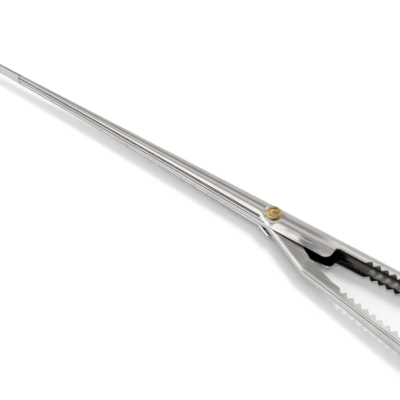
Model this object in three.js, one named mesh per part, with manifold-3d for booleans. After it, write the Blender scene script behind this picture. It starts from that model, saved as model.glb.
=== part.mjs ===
// Reverse-action fishing pliers: two folded sheet-metal arms on one rivet.
//
// Millimetres, +Z up. The pliers lie on their side: X runs along the straight
// outer arm, with the nose at -X and the toothed handles at +X, the hinge axis is
// parallel to Z, and the outer arm's mouth faces -Y. The origin is where the
// hinge axis meets the surface that the pliers lie on, under the rivet's tail.
//
// The outer arm is a tapering tube with a mouth along its near side. The inner
// arm is a slimmer channel that lies in that mouth along the nose, leaves it
// between the ears, and opens away from the outer arm as the second handle.
// Squeezing the handles swings the inner nose out of the outer one.
import * as THREE from 'three';
import { mergeVertices } from 'three/addons/utils/BufferGeometryUtils.js';
import Module from 'manifold-3d';

// ---- driving dimensions -------------------------------------------------------
const NOSE_LENGTH = 178; // hinge axis to the tip of the nose
const HANDLE_LENGTH = 105; // hinge axis to the ends of the handles
const SHEET = 0.8; // wall of both folded arms
const GAP = 0.3; // clearance between two pieces that touch
const FLARE = 1.4; // how late the nose widens between its tip and the hinge

// outer arm, a tube with a mouth
const FAR_SIDE = 6.8; // hinge axis to the back of the outer arm
const CROWN_HEIGHT = { tip: 4.0, pivot: 10.6 };
const ARM_DEPTH = { tip: 2.8, pivot: 10.5 };
const LIP_HEIGHT = { tip: 3.4, pivot: 5.8 }; // across both lips, outside
const SLOPE_DEPTH = { tip: 0.5, pivot: 4.0 }; // crown to lip, measured along Y

// ears of the outer arm
const EAR_DEPTH = 13.1;
const EAR_SLOPE_DEPTH = 6.4;
const EAR_START = -6; // X where the lips begin to widen into the ears
const EAR_FULL = 3.2; // X where the ears have their full depth
const EAR_END = 31.4;
const EAR_CORNER_RADIUS = 3.4;
const NOTCH_RADIUS = 1.3;

// handle edges and their teeth
const HANDLE_EDGE = 0; // Y of the outer handle's edges
const TOOTH_PITCH = 3.7;
const TOOTH_HEIGHT = 1.8;
const OUTER_TEETH_START = 46.5;
const INNER_TEETH_START = 44.5;
const TOOTH_COUNT = 14;
const HANDLE_END_ROUNDING = 5; // of the flanges' corners, seen in plan
const OUTER_END_RADIUS = 6.5; // of the bowed ends, seen from the side
const INNER_END_RADIUS = 5;

// inner arm, a folded channel
const BEND_OUT = { x: -1.5, y: -4.0, degrees: 25.4 }; // leaves the mouth
const BEND_BACK = { x: 25.3, degrees: 11 }; // turns back towards the outer handle
const INNER_END_HEIGHT = 7.8; // across the channel at the handle's end
const FOLD_RADIUS = 1.3;
const LOBE_RADIUS = 4.6; // of the flanges round the rivet
const WEB_CORNER = { x: 25, depth: 6.9 }; // crease of the flange, depth from the fold
const WEB_END = { x: 38.5, depth: 4.6 };
const INNER_FLANGE_DEPTH = 4.6; // fold to the tips of the handle's teeth

// jaws, where the two arms become solid at the nose
const JAW_LENGTH = 28;
const JAW_TOOTH_PITCH = 1.6;
const JAW_TOOTH_HEIGHT = 0.5;
const JAW_TEETH = 11;
const TIP_ROUNDING = 2.2;

// rivet and what it carries
const SHANK_RADIUS = 1.3;
const HEAD_RADIUS = 3.25;
const HEAD_HEIGHT = 1.5;
const HEAD_EDGE = 0.35; // upright outer edge of the head, below its rolled rim
const RIM_WIDTH = 1.3; // of the rolled rim round the head's dish
const DISH_DEPTH = 0.8;
const TAIL_RADIUS = 2.3;
const TAIL_HEIGHT = 0.6;
const SEAT_SINK = 0.25; // how deep the seats are pressed into the crown
const SLEEVE_WALL = 0.4;
const BUSH_RADIUS = 3.0;

// return spring
const WIRE = 0.6;
const WIRE_SPACE = 0.1; // least space between two turns of the coil
const FIXED_LEG = { heading: 35, reach: 9.5, foot: 4 };
const MOVING_LEG = { heading: -45, reach: 10.5, foot: 4 };
const LEG_START_GAP = 25; // degrees of coil left open for the moving leg's travel

// ---- derived sizes ------------------------------------------------------------
const BORE_RADIUS = SHANK_RADIUS + GAP;
const CROWN_HALF = CROWN_HEIGHT.pivot / 2;
const TAIL_TOP = -(CROWN_HALF - SEAT_SINK + GAP);
const PIVOT_HEIGHT = TAIL_HEIGHT - TAIL_TOP;
const JAW_ROOT = -NOSE_LENGTH + JAW_LENGTH;
const SPLIT_GAP = GAP / 2;
const SPRING_GAP = GAP * 2 / 3; // between the spring's legs and the channel's flanges

const radians = THREE.MathUtils.degToRad;

const wasm = await Module();
wasm.setup();

// ---- solids -------------------------------------------------------------------
/** Makes a manifold solid from a closed three.js geometry. */
function solid(geometry) {
  const bare = geometry.clone();
  bare.deleteAttribute('normal');
  bare.deleteAttribute('uv');
  const merged = mergeVertices(bare, 1e-5);
  return new wasm.Manifold(new wasm.Mesh({
    numProp: 3,
    vertProperties: new Float32Array(merged.attributes.position.array),
    triVerts: new Uint32Array(merged.index.array),
  }));
}

/** Makes a named mesh from a manifold solid. */
function piece(name, body, material) {
  const mesh = body.getMesh();
  const geometry = new THREE.BufferGeometry();
  geometry.setAttribute('position', new THREE.BufferAttribute(mesh.vertProperties, 3));
  geometry.setIndex(new THREE.BufferAttribute(mesh.triVerts, 1));
  geometry.computeVertexNormals();
  const result = new THREE.Mesh(geometry, material);
  result.name = name;
  return result;
}

/** Skins sections that lie across X. Each section is { x, ring }, with the ring's
 * (Y, Z) points anticlockwise as seen from +X, and every ring has as many points. */
function loft(sections) {
  const count = sections[0].ring.length;
  const positions = [];
  for (const { x, ring } of sections) {
    for (const point of ring) positions.push(x, point.x, point.y);
  }
  const index = [];
  for (let s = 0; s + 1 < sections.length; s += 1) {
    for (let i = 0; i < count; i += 1) {
      const next = (i + 1) % count;
      const a = s * count + i;
      const b = s * count + next;
      index.push(a, b, b + count, a, b + count, a + count);
    }
  }
  const last = (sections.length - 1) * count;
  const firstRing = sections[0].ring;
  const lastRing = sections.at(-1).ring;
  for (const [a, b, c] of THREE.ShapeUtils.triangulateShape(firstRing, [])) index.push(a, c, b);
  for (const [a, b, c] of THREE.ShapeUtils.triangulateShape(lastRing, [])) {
    index.push(last + a, last + b, last + c);
  }
  const geometry = new THREE.BufferGeometry();
  geometry.setAttribute('position', new THREE.Float32BufferAttribute(positions, 3));
  geometry.setIndex(index);
  return solid(geometry);
}

/** Extrudes a plan outline of (X, Y) points through the whole height. */
function planSolid(points) {
  const height = 4 * CROWN_HEIGHT.pivot;
  const geometry = new THREE.ExtrudeGeometry(new THREE.Shape(points), {
    depth: height,
    bevelEnabled: false,
  });
  geometry.translate(0, 0, -height / 2);
  return solid(geometry);
}

/** Stands a cylinder on the hinge axis between two heights. */
function pivotCylinder(radius, bottom, top, sides = 32) {
  const geometry = new THREE.CylinderGeometry(radius, radius, top - bottom, sides);
  geometry.rotateX(Math.PI / 2);
  geometry.translate(0, 0, (bottom + top) / 2);
  return solid(geometry);
}

/** Turns a closed profile of (radius, Z) points about the hinge axis. */
function turned(profile, sides = 32) {
  const points = profile.map(([radius, z]) => new THREE.Vector2(radius, z));
  const geometry = new THREE.LatheGeometry(points, sides);
  geometry.rotateX(Math.PI / 2);
  return solid(geometry);
}

// ---- outer arm ----------------------------------------------------------------
/** How far the nose has widened at X, from 0 at the tip to 1 at the hinge. */
function widening(x) {
  return Math.min(1, Math.max(0, (x + NOSE_LENGTH) / NOSE_LENGTH)) ** FLARE;
}

function between(size, x) {
  return size.tip + (size.pivot - size.tip) * widening(x);
}

/** How far the lips have grown into ears at X, from 0 to 1 and smooth at both ends. */
function earGrowth(x) {
  return THREE.MathUtils.smoothstep(x, EAR_START, EAR_FULL);
}

/** The sizes of the outer arm's tube at X. */
function tubeAt(x) {
  const growth = earGrowth(x);
  const half = between(CROWN_HEIGHT, x) / 2;
  const depth = THREE.MathUtils.lerp(between(ARM_DEPTH, x), EAR_DEPTH, growth);
  const slope = THREE.MathUtils.lerp(between(SLOPE_DEPTH, x), EAR_SLOPE_DEPTH, growth);
  const lip = FAR_SIDE - depth;
  return { half, lip, lipHalf: between(LIP_HEIGHT, x) / 2, slope, crownEnd: lip + slope };
}

const SLOPE_STEPS = 4;
const ARC_STEPS = 7;

/** The upper half of the tube's outside, inset by a wall: lip, crown, back. */
function upperProfile(x, inset) {
  const { half, lip, lipHalf, slope, crownEnd } = tubeAt(x);
  const drop = half - lipHalf;
  const points = [];
  for (let i = 0; i < SLOPE_STEPS; i += 1) {
    const share = 1 - i / SLOPE_STEPS; // 1 at the lip, 0 at the crown
    const steepness = Math.atan(2 * drop * share / slope);
    const y = lip + slope * (1 - share) + inset * Math.sin(steepness);
    points.push(new THREE.Vector2(y, half - drop * share ** 2 - inset * Math.cos(steepness)));
  }
  points.push(new THREE.Vector2(crownEnd, half - inset));
  const centre = FAR_SIDE - half;
  for (let i = 0; i <= ARC_STEPS; i += 1) {
    const angle = Math.PI / 2 * (1 - i / ARC_STEPS);
    const radius = half - inset;
    points.push(new THREE.Vector2(centre + radius * Math.cos(angle), radius * Math.sin(angle)));
  }
  return points;
}

/** The tube's outline from the upper lip round the back to the lower lip. */
function wholeProfile(x, inset) {
  const upper = upperProfile(x, inset);
  const lower = upper.slice(0, -1).reverse().map((point) => new THREE.Vector2(point.x, -point.y));
  return [...upper, ...lower];
}

/** A section of the folded tube, its wall between the outside and the inside. */
function tubeSection(x) {
  const outside = wholeProfile(x, 0);
  const inside = wholeProfile(x, SHEET).reverse();
  return { x, ring: [...outside, ...inside].reverse() };
}

/** A section of the nose as one solid, shrunk towards its middle by a factor. */
function noseSection(x, factor) {
  const { lip } = tubeAt(x);
  const middle = (lip + FAR_SIDE) / 2;
  const ring = wholeProfile(x, 0).reverse().map((point) => new THREE.Vector2(
    middle + (point.x - middle) * factor,
    point.y * factor,
  ));
  return { x, ring };
}

/** Even steps from one X to another, both included. */
function steps(from, to, count) {
  return Array.from({ length: count + 1 }, (_, i) => from + (to - from) * i / count);
}

/** The solid nose, from its rounded tip to an X behind the jaws. */
function solidNose(end) {
  const rounded = [0.04, 0.2, 0.5, 1].map((share) => {
    const x = -NOSE_LENGTH + TIP_ROUNDING * share;
    return noseSection(x, Math.sqrt(1 - (1 - share) ** 2));
  });
  const rest = steps(-NOSE_LENGTH + TIP_ROUNDING, end, 5).slice(1);
  return loft([...rounded, ...rest.map((x) => noseSection(x, 1))]);
}

/** Y of the line on which the jaws meet. */
function splitLine(x) {
  const { lip } = tubeAt(x);
  return (lip + FAR_SIDE) / 2;
}

/** Zigzag points from X start: each tooth rises from a line towards the given side. */
function zigzag(start, pitch, height, count, line) {
  const points = [];
  for (let i = 0; i < count; i += 1) {
    const root = start + i * pitch;
    const tip = root + pitch / 2;
    points.push(new THREE.Vector2(root, line(root)), new THREE.Vector2(tip, line(tip) + height));
  }
  const end = start + count * pitch;
  points.push(new THREE.Vector2(end, line(end)));
  return points;
}

/** The line on which the arms part along the nose, toothed at the jaws, shifted in Y. */
function partingLine(shift) {
  const line = (x) => splitLine(x) + shift;
  const jawTeeth = zigzag(
    -NOSE_LENGTH + TIP_ROUNDING, JAW_TOOTH_PITCH, JAW_TOOTH_HEIGHT, JAW_TEETH, line,
  );
  const beyondTip = -NOSE_LENGTH - GAP;
  const rest = steps(JAW_ROOT, -LOBE_RADIUS, 8).map((x) => new THREE.Vector2(x, line(x)));
  return [new THREE.Vector2(beyondTip, line(beyondTip)), ...jawTeeth, ...rest];
}

const BEYOND = 60; // clear of the arms on either side in Y

/** The arc of a corner, as points, from one angle to another in degrees. */
function cornerArc(x, y, radius, from, to, count = 5) {
  return steps(radians(from), radians(to), count).map((angle) => new THREE.Vector2(
    x + radius * Math.cos(angle),
    y + radius * Math.sin(angle),
  ));
}

/** Everything on the near side of the outer arm's ears, notch and toothed edge. */
function outerTrim() {
  const earLip = FAR_SIDE - EAR_DEPTH;
  const notchX = EAR_END + NOTCH_RADIUS;
  const toothLine = () => HANDLE_EDGE + TOOTH_HEIGHT;
  const teeth = zigzag(
    OUTER_TEETH_START, TOOTH_PITCH, -TOOTH_HEIGHT, TOOTH_COUNT, toothLine,
  );
  const endX = HANDLE_LENGTH - HANDLE_END_ROUNDING;
  return planSolid([
    new THREE.Vector2(EAR_END - EAR_CORNER_RADIUS, earLip - BEYOND),
    ...cornerArc(
      EAR_END - EAR_CORNER_RADIUS, earLip + EAR_CORNER_RADIUS, EAR_CORNER_RADIUS, -90, 0,
    ),
    ...cornerArc(notchX, HANDLE_EDGE - NOTCH_RADIUS, NOTCH_RADIUS, 180, 90, 3),
    new THREE.Vector2(OUTER_TEETH_START - TOOTH_PITCH / 2, HANDLE_EDGE),
    ...teeth,
    ...cornerArc(
      endX, HANDLE_EDGE + HANDLE_END_ROUNDING, HANDLE_END_ROUNDING, -90, 0, 6,
    ),
    new THREE.Vector2(HANDLE_LENGTH, BEYOND),
    new THREE.Vector2(HANDLE_LENGTH + BEYOND, BEYOND),
    new THREE.Vector2(HANDLE_LENGTH + BEYOND, earLip - BEYOND),
  ]);
}

/** Everything past a handle's end, which bows out between its upper and lower edge. */
function endTrim(radius) {
  const centre = HANDLE_LENGTH - radius;
  const bow = cornerArc(centre, 0, radius, -80, 80, 12);
  const shape = new THREE.Shape([
    new THREE.Vector2(bow[0].x, -BEYOND),
    new THREE.Vector2(HANDLE_LENGTH + BEYOND, -BEYOND),
    new THREE.Vector2(HANDLE_LENGTH + BEYOND, BEYOND),
    new THREE.Vector2(bow[0].x, BEYOND),
    ...bow.reverse(),
  ]);
  const geometry = new THREE.ExtrudeGeometry(shape, { depth: 2 * BEYOND, bevelEnabled: false });
  geometry.translate(0, 0, -BEYOND);
  geometry.rotateX(Math.PI / 2);
  return solid(geometry);
}

/** The seats pressed flat for the rivet's head and tail, and the rivet's hole. */
function rivetCuts() {
  const high = 2 * CROWN_HEIGHT.pivot;
  const seat = CROWN_HALF - SEAT_SINK;
  return pivotCylinder(HEAD_RADIUS + GAP, seat, high)
    .add(pivotCylinder(TAIL_RADIUS + GAP, -high, -seat))
    .add(pivotCylinder(BORE_RADIUS, -high, high));
}

function outerArm() {
  const tube = loft([
    ...steps(JAW_ROOT, EAR_START, 14),
    ...steps(EAR_START, EAR_FULL, 5).slice(1),
    HANDLE_LENGTH,
  ].map(tubeSection));
  const nearSide = planSolid([
    ...partingLine(SPLIT_GAP),
    new THREE.Vector2(-LOBE_RADIUS, -BEYOND),
    new THREE.Vector2(-NOSE_LENGTH - GAP, -BEYOND),
  ]);
  const jaw = solidNose(JAW_ROOT + 2 * SHEET).subtract(nearSide);
  return tube.add(jaw).subtract(outerTrim()).subtract(endTrim(OUTER_END_RADIUS))
    .subtract(rivetCuts());
}

// ---- inner arm ----------------------------------------------------------------
const SLOPE_OUT = Math.tan(radians(BEND_OUT.degrees));
const SLOPE_BACK = Math.tan(radians(BEND_BACK.degrees));
const BACK_Y = BEND_OUT.y - SLOPE_OUT * (BEND_BACK.x - BEND_OUT.x);

/** Y of the inner arm's outside face at X: level with the lips, then bent twice. */
function innerFace(x) {
  if (x > BEND_BACK.x) return BACK_Y - SLOPE_BACK * (x - BEND_BACK.x);
  if (x > BEND_OUT.x) return BEND_OUT.y - SLOPE_OUT * (x - BEND_OUT.x);
  return BEND_OUT.y + noseLip(x) - noseLip(BEND_OUT.x);
}

/** Y of the outer arm's lips along the nose, without the ears. */
function noseLip(x) {
  return FAR_SIDE - between(ARM_DEPTH, x);
}

/** Half the height that the inner arm has at X, inside the mouth and beyond it. */
function innerHalf(x) {
  const { half, lipHalf, slope } = tubeAt(Math.min(x, EAR_START));
  const steepness = Math.atan(2 * (half - lipHalf) / slope);
  const inMouth = lipHalf - SHEET * Math.cos(steepness) - GAP;
  const growth = THREE.MathUtils.clamp((x - BEND_BACK.x) / (HANDLE_LENGTH - BEND_BACK.x), 0, 1);
  return THREE.MathUtils.lerp(inMouth, INNER_END_HEIGHT / 2, growth);
}

const FOLD_STEPS = 3;
const FLANGE_REACH = 14; // longer than any flange, trimmed in plan afterwards

/** The upper half of the inner channel's outline, inset by a wall: edge, fold, web. */
function channelProfile(x, inset, lean) {
  const half = innerHalf(x);
  const radius = Math.max(Math.min(FOLD_RADIUS, half) - inset, 0.2);
  const face = innerFace(x) + inset / lean;
  const top = half - inset;
  const points = [new THREE.Vector2(innerFace(x) + FLANGE_REACH, top)];
  for (let i = 0; i <= FOLD_STEPS; i += 1) {
    const angle = Math.PI / 2 * (1 + i / FOLD_STEPS);
    points.push(new THREE.Vector2(
      face + radius * (1 + Math.cos(angle)),
      top - radius * (1 - Math.sin(angle)),
    ));
  }
  return points;
}

/** A section of the inner channel. The wall's share of Y grows where the arm leans. */
function channelSection(x) {
  const step = 0.5;
  const slope = (innerFace(x + step) - innerFace(x - step)) / (2 * step);
  const lean = Math.cos(Math.atan(slope));
  const mirrored = (points) => points.map((point) => new THREE.Vector2(point.x, -point.y));
  const outside = channelProfile(x, 0, lean);
  const inside = channelProfile(x, SHEET, lean);
  const ring = [
    ...outside,
    ...mirrored(outside).reverse(),
    ...mirrored(inside),
    ...inside.slice().reverse(),
  ];
  return { x, ring };
}

/** Everything on the far side of the inner arm's flanges: nose, lobe, web and teeth. */
function innerTrim() {
  const edge = (depth) => (x) => innerFace(x) + depth;
  const webCorner = new THREE.Vector2(WEB_CORNER.x, edge(WEB_CORNER.depth)(WEB_CORNER.x));
  const webEnd = new THREE.Vector2(WEB_END.x, edge(WEB_END.depth)(WEB_END.x));
  const lobeEnd = tangentAngle(webCorner);
  const toothLine = edge(INNER_FLANGE_DEPTH - TOOTH_HEIGHT);
  const teeth = zigzag(
    INNER_TEETH_START, TOOTH_PITCH, TOOTH_HEIGHT, TOOTH_COUNT, toothLine,
  );
  const endX = HANDLE_LENGTH - HANDLE_END_ROUNDING;
  const endEdge = edge(INNER_FLANGE_DEPTH)(endX);
  const nose = partingLine(-SPLIT_GAP);
  const noseEnd = nose.at(-1);
  const lobeStart = 180 - THREE.MathUtils.radToDeg(Math.asin(noseEnd.y / LOBE_RADIUS));
  return planSolid([
    ...nose.slice(0, -1),
    ...cornerArc(0, 0, LOBE_RADIUS, lobeStart, lobeEnd, 10),
    webCorner,
    webEnd,
    new THREE.Vector2(INNER_TEETH_START - TOOTH_PITCH / 2, edge(INNER_FLANGE_DEPTH)(
      INNER_TEETH_START - TOOTH_PITCH / 2,
    )),
    ...teeth,
    ...cornerArc(
      endX, endEdge - HANDLE_END_ROUNDING, HANDLE_END_ROUNDING, 90, 0, 6,
    ),
    new THREE.Vector2(HANDLE_LENGTH, innerFace(HANDLE_LENGTH) - BEYOND),
    new THREE.Vector2(HANDLE_LENGTH + BEYOND, innerFace(HANDLE_LENGTH) - BEYOND),
    new THREE.Vector2(HANDLE_LENGTH + BEYOND, BEYOND),
    new THREE.Vector2(-NOSE_LENGTH - GAP, BEYOND),
  ].reverse());
}

/** The angle in degrees at which a line from a point meets the lobe as a tangent. */
function tangentAngle(point) {
  const away = Math.atan2(point.y, point.x);
  return THREE.MathUtils.radToDeg(away + Math.acos(LOBE_RADIUS / point.length()));
}

function innerArm() {
  const channel = loft([
    ...steps(JAW_ROOT - 2 * SHEET, BEND_OUT.x, 12),
    ...steps(BEND_OUT.x, BEND_BACK.x, 2).slice(1),
    HANDLE_LENGTH,
  ].map(channelSection));
  const farSide = innerTrim();
  const jaw = solidNose(JAW_ROOT - GAP);
  const bore = pivotCylinder(BORE_RADIUS, -CROWN_HALF, CROWN_HALF);
  return channel.add(jaw).subtract(farSide).subtract(endTrim(INNER_END_RADIUS)).subtract(bore);
}

// ---- rivet, sleeve and bushes -------------------------------------------------
/** Dished head with a rolled rim, shank and flat clinched tail, turned in one. */
function rivet() {
  const underHead = CROWN_HALF - SEAT_SINK + GAP;
  const top = underHead + HEAD_HEIGHT;
  const rim = steps(0, 180, 10).map((degrees) => {
    const depth = degrees < 90 ? HEAD_HEIGHT - HEAD_EDGE : DISH_DEPTH;
    const swing = RIM_WIDTH / 2 * (1 - Math.cos(radians(degrees)));
    return [HEAD_RADIUS - swing, top - depth * (1 - Math.sin(radians(degrees)))];
  });
  const edge = 0.2;
  return turned([
    [0, TAIL_TOP - TAIL_HEIGHT],
    [TAIL_RADIUS - edge, TAIL_TOP - TAIL_HEIGHT],
    [TAIL_RADIUS, TAIL_TOP - TAIL_HEIGHT + edge],
    [TAIL_RADIUS, TAIL_TOP],
    [SHANK_RADIUS, TAIL_TOP],
    [SHANK_RADIUS, underHead],
    [HEAD_RADIUS, underHead],
    ...rim,
    [0, top - DISH_DEPTH],
  ]);
}

const INNER_HALF = innerHalf(0);
const WELL_HALF = INNER_HALF - SHEET; // inside the inner channel at the hinge

/** The sleeve that keeps the inner arm's flanges apart. */
function sleeve() {
  const half = WELL_HALF - GAP;
  const outside = BORE_RADIUS + SLEEVE_WALL;
  return turned([
    [BORE_RADIUS, -half],
    [outside, -half],
    [outside, half],
    [BORE_RADIUS, half],
    [BORE_RADIUS, -half],
  ]);
}

/** Height of the crown's inside over the hinge, at a distance towards the mouth. */
function crownInside(distance) {
  const { half, lipHalf, slope, crownEnd } = tubeAt(0);
  const share = Math.max(0, (crownEnd + distance) / slope);
  const drop = half - lipHalf;
  const steepness = Math.atan(2 * drop * share / slope);
  return half - drop * share ** 2 - SHEET / Math.cos(steepness);
}

/** A coned bush between a flange of the inner arm and the outer arm's crown. */
function bush() {
  const neck = BORE_RADIUS + SLEEVE_WALL;
  const base = INNER_HALF + GAP;
  const top = crownInside(neck) - GAP;
  const shoulder = base + (top - base) * 0.35;
  return turned([
    [BORE_RADIUS, base],
    [BUSH_RADIUS, base],
    [BUSH_RADIUS, shoulder],
    [neck, top],
    [BORE_RADIUS, top],
    [BORE_RADIUS, base],
  ]);
}

// ---- return spring ------------------------------------------------------------
const COIL_RADIUS = BORE_RADIUS + SLEEVE_WALL + GAP + WIRE / 2;
const COIL_RISE = 2 * (WELL_HALF - SPRING_GAP) - WIRE; // from the one leg to the other
const PART_TURN = THREE.MathUtils.euclideanModulo(FIXED_LEG.heading - MOVING_LEG.heading - 180, 360) / 360;
const TURNS = PART_TURN + Math.max(0, Math.floor(COIL_RISE / (WIRE + WIRE_SPACE) - PART_TURN));
const MOVING_ANGLE = radians(MOVING_LEG.heading + 90);
const FIXED_ANGLE = MOVING_ANGLE + 2 * Math.PI * TURNS;

const LEG_STEPS = 16;

/** A wire along points, with a round section of eight sides. */
function wire(points, count) {
  const section = new THREE.Shape();
  section.absarc(0, 0, WIRE / 2, 0, 2 * Math.PI);
  const path = new THREE.CatmullRomCurve3(points, false, 'centripetal');
  const geometry = new THREE.ExtrudeGeometry(section, {
    steps: count,
    curveSegments: 4,
    extrudePath: path,
  });
  return solid(geometry);
}

/** A leg: straight off the coil along its heading, then a foot along a wall. */
function legPoints(startAngle, leg, footHeading, z) {
  const start = new THREE.Vector2(Math.cos(startAngle), Math.sin(startAngle))
    .multiplyScalar(COIL_RADIUS);
  const along = (degrees) => new THREE.Vector2(1, 0).rotateAround(
    new THREE.Vector2(), radians(degrees),
  );
  const knee = start.clone().addScaledVector(along(leg.heading), leg.reach);
  const toe = knee.clone().addScaledVector(along(footHeading), leg.foot);
  const spread = (from, to, shares) => shares.map((share) => {
    const point = from.clone().lerp(to, share);
    return new THREE.Vector3(point.x, point.y, z);
  });
  return [...spread(start, knee, [0, 0.3, 0.6, 0.9]), ...spread(knee, toe, [0.25, 0.6, 1])];
}

/** The coil round the sleeve, with the leg that rests on the outer arm's back. */
function springCoil() {
  const from = MOVING_ANGLE + radians(LEG_START_GAP);
  const coilSteps = Math.ceil(18 * TURNS);
  const coil = steps(from, FIXED_ANGLE, coilSteps).slice(0, -1).map((angle) => new THREE.Vector3(
    COIL_RADIUS * Math.cos(angle),
    COIL_RADIUS * Math.sin(angle),
    COIL_RISE * ((angle - MOVING_ANGLE) / (FIXED_ANGLE - MOVING_ANGLE) - 0.5),
  ));
  const leg = legPoints(FIXED_ANGLE, FIXED_LEG, 0, COIL_RISE / 2);
  return wire([...coil, ...leg], coilSteps + LEG_STEPS);
}

/** The other end of the same wire, which turns with the inner arm. */
function springLeg() {
  return wire(
    legPoints(MOVING_ANGLE, MOVING_LEG, -BEND_OUT.degrees, -COIL_RISE / 2), LEG_STEPS,
  );
}

// ---- assembly -----------------------------------------------------------------
const steel = new THREE.MeshStandardMaterial({ color: 0xbdbab6, roughness: 0.28, metalness: 1 });
const innerSteel = new THREE.MeshStandardMaterial({ color: 0xc6c4c1, roughness: 0.24, metalness: 1 });
const brass = new THREE.MeshStandardMaterial({ color: 0xb8924a, roughness: 0.25, metalness: 1 });
const turnedSteel = new THREE.MeshStandardMaterial({ color: 0xa9a8a6, roughness: 0.4, metalness: 1 });
const springSteel = new THREE.MeshStandardMaterial({ color: 0x8d8c8a, roughness: 0.35, metalness: 1 });

const group = new THREE.Group();
group.position.z = PIVOT_HEIGHT;

group.add(piece('outer_arm', outerArm(), steel));
group.add(piece('inner_arm', innerArm(), innerSteel));
group.add(piece('pivot_rivet', rivet(), brass));
group.add(piece('spacer_sleeve', sleeve(), turnedSteel));
group.add(piece('upper_bush', bush(), turnedSteel));
const lowerBush = piece('lower_bush', bush(), turnedSteel);
lowerBush.rotation.x = Math.PI;
group.add(lowerBush);
group.add(piece('return_spring', springCoil(), springSteel));
group.add(piece('return_spring_leg', springLeg(), springSteel));

export default group;
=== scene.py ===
"""Reverse-action fishing pliers: two folded sheet-steel arms on one brass rivet.

The pliers lie on their side. X runs along the straight outer arm, nose at -X, and
the hinge axis is parallel to Z through X = Y = 0. Everything is in metres.
"""
import logging
import math
from dataclasses import dataclass, field
from enum import Enum

import bmesh
import bpy
import numpy as np
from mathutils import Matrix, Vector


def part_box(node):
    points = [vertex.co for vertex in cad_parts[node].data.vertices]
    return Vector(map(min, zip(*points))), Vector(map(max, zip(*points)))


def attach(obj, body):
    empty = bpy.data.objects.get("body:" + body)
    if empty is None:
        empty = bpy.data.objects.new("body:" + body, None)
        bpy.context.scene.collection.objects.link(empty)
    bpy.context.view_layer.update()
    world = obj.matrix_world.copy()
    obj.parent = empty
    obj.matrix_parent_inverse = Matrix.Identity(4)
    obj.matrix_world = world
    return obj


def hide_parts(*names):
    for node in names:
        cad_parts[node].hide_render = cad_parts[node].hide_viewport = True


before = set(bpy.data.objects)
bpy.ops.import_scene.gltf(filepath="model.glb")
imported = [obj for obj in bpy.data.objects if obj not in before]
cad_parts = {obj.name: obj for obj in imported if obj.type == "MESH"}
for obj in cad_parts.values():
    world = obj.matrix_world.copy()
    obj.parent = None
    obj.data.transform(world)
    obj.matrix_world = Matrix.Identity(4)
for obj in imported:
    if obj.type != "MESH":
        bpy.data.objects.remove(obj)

LOG = logging.getLogger("pliers")
MM = 0.001
Array = np.ndarray
Socket = bpy.types.NodeSocket
Range = tuple[float, float]
Colour = tuple[float, float, float]
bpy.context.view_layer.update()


class Side(Enum):
    """Which side of the arms' middle plane a piece lies on."""

    UPPER = 1.0
    LOWER = -1.0


# ---- shared mathematics -------------------------------------------------------
def smooth(x: Array, start: float, end: float) -> Array:
    """Smooth step: 3t^2 - 2t^3 of the share t of the way from start to end.

    Args:
        x: Where to evaluate.
        start: Where the step is still 0.
        end: Where the step is 1.

    Returns:
        Values from 0 to 1.
    """
    t = np.clip((x - start) / (end - start), 0.0, 1.0)
    return t * t * (3.0 - 2.0 * t)


def arc(x: float, y: float, radius: float, start: float, end: float, count: int) -> Array:
    """Points on a circle: the centre plus radius times (cosine, sine) of even angles.

    Args:
        x: Centre in X.
        y: Centre in Y.
        radius: Radius of the arc.
        start: First angle in degrees.
        end: Last angle in degrees.
        count: How many points.

    Returns:
        An array of (x, y) rows.
    """
    angle = np.radians(np.linspace(start, end, count))
    return np.stack([x + radius * np.cos(angle), y + radius * np.sin(angle)], axis=1)


def teeth(x: Array, start: float, pitch: float) -> Array:
    """A saw-like wave with softened tips, 0 at start and 1 half a pitch later.

    It is the arcsine of 0.985 times the cosine of the phase, brought to 0..1.

    Args:
        x: Where to evaluate.
        start: Where a root lies.
        pitch: Distance from root to root.

    Returns:
        Values from 0 at the roots to 1 at the tips.
    """
    sharpness = 0.985
    wave = np.arcsin(sharpness * np.cos(2.0 * np.pi * (x - start) / pitch))
    return 0.5 - 0.5 * wave / math.asin(sharpness)


def base_along(edge: Array) -> Array:
    """X of the far end of each station, even in the edge's own arc length.

    Args:
        edge: The (x, y) rows of one stretch of a cut edge.

    Returns:
        The first X plus the share of the arc length so far times the X covered.
    """
    step = np.hypot(np.diff(edge[:, 0]), np.diff(edge[:, 1]))
    share = np.concatenate([[0.0], np.cumsum(step)]) / step.sum()
    return edge[0, 0] + (edge[-1, 0] - edge[0, 0]) * share


def joined_stretches(parts: list[Array]) -> tuple[Array, Array]:
    """Joins the stretches of a cut edge, each of which starts where the last one ends.

    Args:
        parts: The stretches, as rows of (x, y).

    Returns:
        The whole edge, and each station's base X.
    """
    bases = [base_along(part) for part in parts]
    edge = np.vstack([parts[0]] + [part[1:] for part in parts[1:]])
    return edge, np.concatenate([bases[0]] + [each[1:] for each in bases[1:]])


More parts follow.
